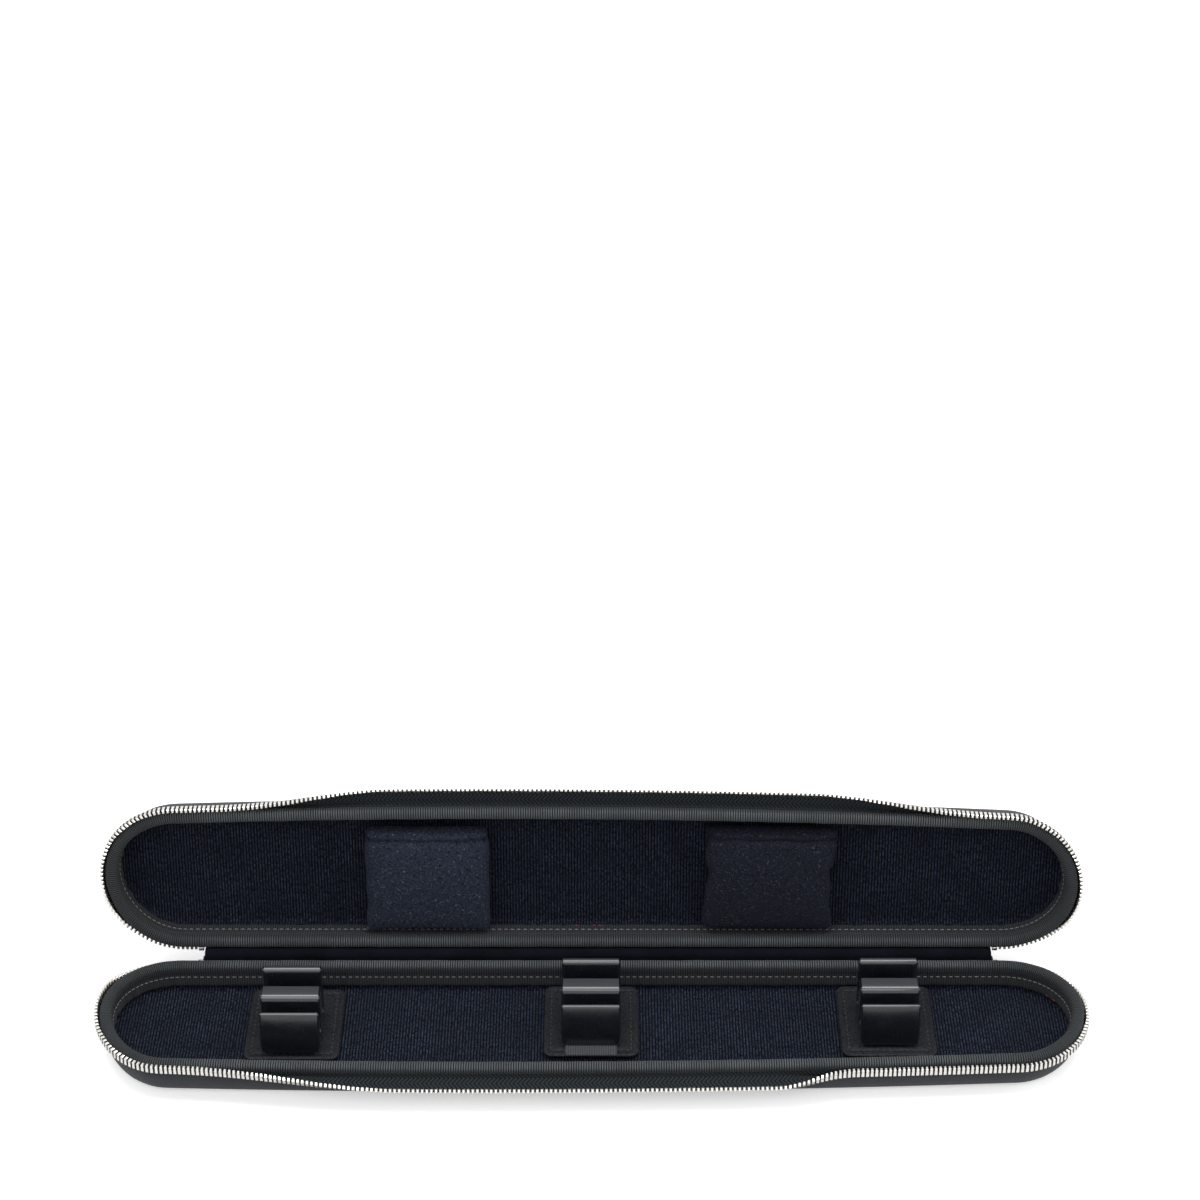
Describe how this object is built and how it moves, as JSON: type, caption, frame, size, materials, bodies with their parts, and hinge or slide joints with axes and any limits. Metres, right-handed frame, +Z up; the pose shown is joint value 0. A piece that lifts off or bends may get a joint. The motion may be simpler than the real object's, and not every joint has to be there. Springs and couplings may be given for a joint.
{
  "type": "baton case",
  "caption": "Long round-ended zipped case for conducting batons, standing open: a lined tray with clip holders on patches, and a cloth-hinged lid with terry cushions.",
  "frame": {"origin": "on the tray's flat underside, midway between the centres of its two round ends", "axes": "+X along the case to the right as seen from the open front, +Y to the cloth hinge at the back, +Z up"},
  "size_m": [0.4686, 0.1209, 0.1088],
  "materials": {
    "shell": "dark grey cloth-faced moulded foam",
    "board": "plain stiffening board",
    "lining": "ribbed navy velour",
    "binding": "olive grey ribbed binding tape",
    "zip_tape": "black herringbone zip tape",
    "zip_metal": "bright nickel",
    "slider": "black lacquered",
    "leather": "black grained leather-like sheet",
    "hook": "black hook fastener",
    "webbing": "dark ribbed webbing",
    "clip": "glossy black moulding",
    "terry": "navy terry loops"
  },
  "bodies": {
    "tray": {"tray_shell": "shell", "tray_board": "board", "tray_lining": "lining", "tray_binding": "binding", "tray_zip_tape": "zip_tape", "tray_zip_teeth": "zip_metal", "tray_zip_stop_left": "zip_metal", "tray_zip_stop_right": "zip_metal", "tray_hinge_cloth": "lining"},
    "lid": {"lid_shell": "shell", "lid_lining": "lining", "lid_binding": "binding", "lid_zip_tape": "zip_tape", "lid_zip_teeth": "zip_metal", "lid_zip_stop_left": "zip_metal", "lid_zip_stop_right": "zip_metal", "lid_hinge_cloth": "lining"},
    "holder_left": {"holder_hook_left": "hook", "holder_patch_left": "leather", "holder_strap_left": "webbing", "holder_clip_left": "clip"},
    "holder_middle": {"holder_hook_middle": "hook", "holder_patch_middle": "leather", "holder_strap_middle": "webbing", "holder_clip_middle": "clip"},
    "holder_right": {"holder_hook_right": "hook", "holder_patch_right": "leather", "holder_strap_right": "webbing", "holder_clip_right": "clip"},
    "pad_left": {"pad_hook_left": "hook", "lid_pad_left": "terry"},
    "pad_right": {"pad_hook_right": "hook", "lid_pad_right": "terry"},
    "slider_left": {"zip_slider_left": "slider"},
    "slider_right": {"zip_slider_right": "slider"},
    "pull_left": {"zip_pull_left": "slider"},
    "pull_right": {"zip_pull_right": "slider"}
  },
  "joints": [
    {"name": "lid_hinge", "type": "hinge", "parent": "tray", "child": "lid", "pos_m": [0, 0.03725, 0.024], "axis": [-1, 0, 0], "range_deg": [-100.5, 17.5]},
    {"name": "holder_left_lift", "type": "slide", "parent": "tray", "child": "holder_left", "axis": [0, 0, 1], "range_m": [0, 0.05]},
    {"name": "holder_middle_lift", "type": "slide", "parent": "tray", "child": "holder_middle", "axis": [0, 0, 1], "range_m": [0, 0.05]},
    {"name": "holder_right_lift", "type": "slide", "parent": "tray", "child": "holder_right", "axis": [0, 0, 1], "range_m": [0, 0.05]},
    {"name": "pad_left_peel", "type": "slide", "parent": "lid", "child": "pad_left", "axis": [0, -0.9903, 0.1392], "range_m": [0, 0.04]},
    {"name": "pad_right_peel", "type": "slide", "parent": "lid", "child": "pad_right", "axis": [0, -0.9903, 0.1392], "range_m": [0, 0.04]},
    {"name": "slider_left_run", "type": "slide", "parent": "tray", "child": "slider_left", "axis": [-1, 0, 0], "range_m": [0, 0.006]},
    {"name": "slider_right_run", "type": "slide", "parent": "tray", "child": "slider_right", "axis": [1, 0, 0], "range_m": [0, 0.006]},
    {"name": "pull_left_swing", "type": "hinge", "parent": "slider_left", "child": "pull_left", "pos_m": [-0.1853, 0.04285, 0.0155], "axis": [0, 1, 0], "range_deg": [-30, 80]},
    {"name": "pull_right_swing", "type": "hinge", "parent": "slider_right", "child": "pull_right", "pos_m": [0.1909, 0.04285, 0.0155], "axis": [0, 1, 0], "range_deg": [-80, 30]}
  ]
}
